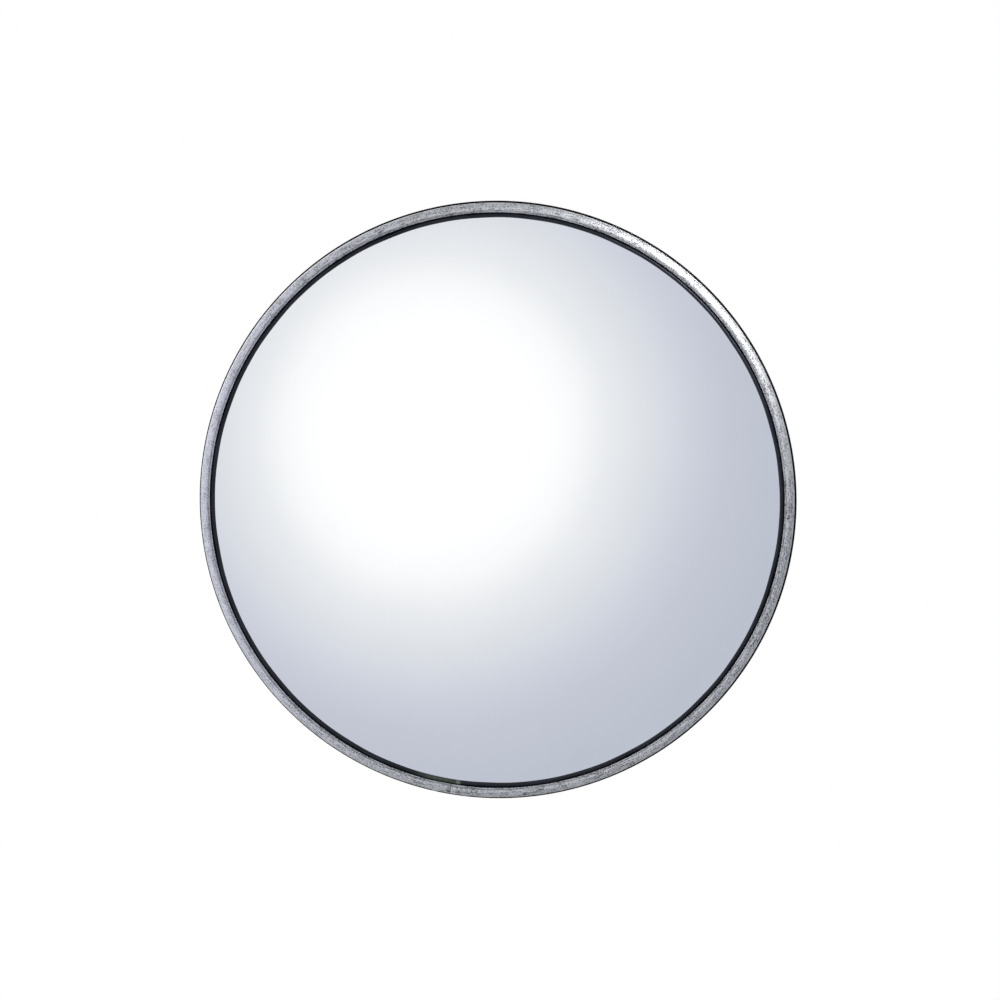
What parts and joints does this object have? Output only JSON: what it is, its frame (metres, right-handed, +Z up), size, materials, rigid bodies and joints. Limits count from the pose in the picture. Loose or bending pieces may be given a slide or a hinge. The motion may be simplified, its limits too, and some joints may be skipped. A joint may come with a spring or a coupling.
{
  "type": "convex security mirror",
  "caption": "Round convex glass mirror in a rolled galvanised rim with a black rubber seal, on a short swing arm with a ball joint and a wall plate.",
  "frame": {"origin": "centre of the wall plate's back face, on the wall", "axes": "+Y points into the wall, +Z is up, and the mirror faces -Y with +X on its right as seen from the front"},
  "size_m": [0.305, 0.2355, 0.305],
  "materials": {
    "bracket_steel": "zinc-plated sheet steel",
    "fastener_zinc": "bright zinc-plated fasteners",
    "turned_steel": "turned and nickel-plated steel",
    "ball_steel": "polished steel ball",
    "knob_plastic": "moulded black phenolic",
    "insert_brass": "turned brass",
    "nylon": "natural nylon",
    "pan_galvanised": "galvanised sheet with a soft spangle",
    "rim_galvanised": "rolled galvanised steel, finely mottled",
    "gasket_rubber": "smooth black rubber",
    "pad_foam": "closed-cell foam strip",
    "mirror_glass": "silvered convex glass with a ground edge"
  },
  "bodies": {
    "wall_bracket": {"wall_plate": "bracket_steel", "wall_knuckle": "bracket_steel", "hinge_bolt": "fastener_zinc", "hinge_washers": "fastener_zinc"},
    "hinge_knob": {"knob_body": "knob_plastic", "knob_insert": "insert_brass"},
    "swing_arm": {"arm_eye": "bracket_steel", "arm_bushes": "nylon", "arm_tube": "bracket_steel", "socket_cup": "turned_steel"},
    "lock_collar": {"socket_collar": "turned_steel"},
    "ball_liner": {"friction_liner": "nylon"},
    "swivel_ball": {"pivot_ball": "ball_steel"},
    "mirror_head": {"ball_stem": "fastener_zinc", "stem_jam_nut": "fastener_zinc", "stem_washer": "fastener_zinc", "stem_nut": "fastener_zinc", "mount_plate": "bracket_steel", "plate_screws": "fastener_zinc", "plate_washers": "fastener_zinc", "weld_nuts": "fastener_zinc", "back_pan": "pan_galvanised", "edge_pad": "pad_foam", "mirror_glass": "mirror_glass", "rim_gasket": "gasket_rubber", "rim_band": "rim_galvanised", "rim_splice": "rim_galvanised", "splice_rivets": "fastener_zinc"}
  },
  "joints": [
    {"name": "arm_swing", "type": "hinge", "parent": "wall_bracket", "child": "swing_arm", "pos_m": [0, -0.034, 0], "axis": [0, 0, 1], "range_deg": [-40, 40]},
    {"name": "knob_turn", "type": "hinge", "parent": "wall_bracket", "child": "hinge_knob", "pos_m": [0, -0.034, 0], "axis": [0, 0, 1], "range_deg": [0, 360]},
    {"name": "collar_turn", "type": "hinge", "parent": "swing_arm", "child": "lock_collar", "pos_m": [0, -0.16, 0], "axis": [0, -1, 0], "range_deg": [0, 180]},
    {"name": "ball_pan", "type": "hinge", "parent": "swing_arm", "child": "ball_liner", "pos_m": [0, -0.16, 0], "axis": [0, 0, 1], "range_deg": [-25, 25]},
    {"name": "ball_tilt", "type": "hinge", "parent": "ball_liner", "child": "swivel_ball", "pos_m": [0, -0.16, 0], "axis": [1, 0, 0], "range_deg": [-25, 25]},
    {"name": "mirror_spin", "type": "hinge", "parent": "swivel_ball", "child": "mirror_head", "pos_m": [0, -0.16, 0], "axis": [0, -1, 0], "continuous": true}
  ]
}
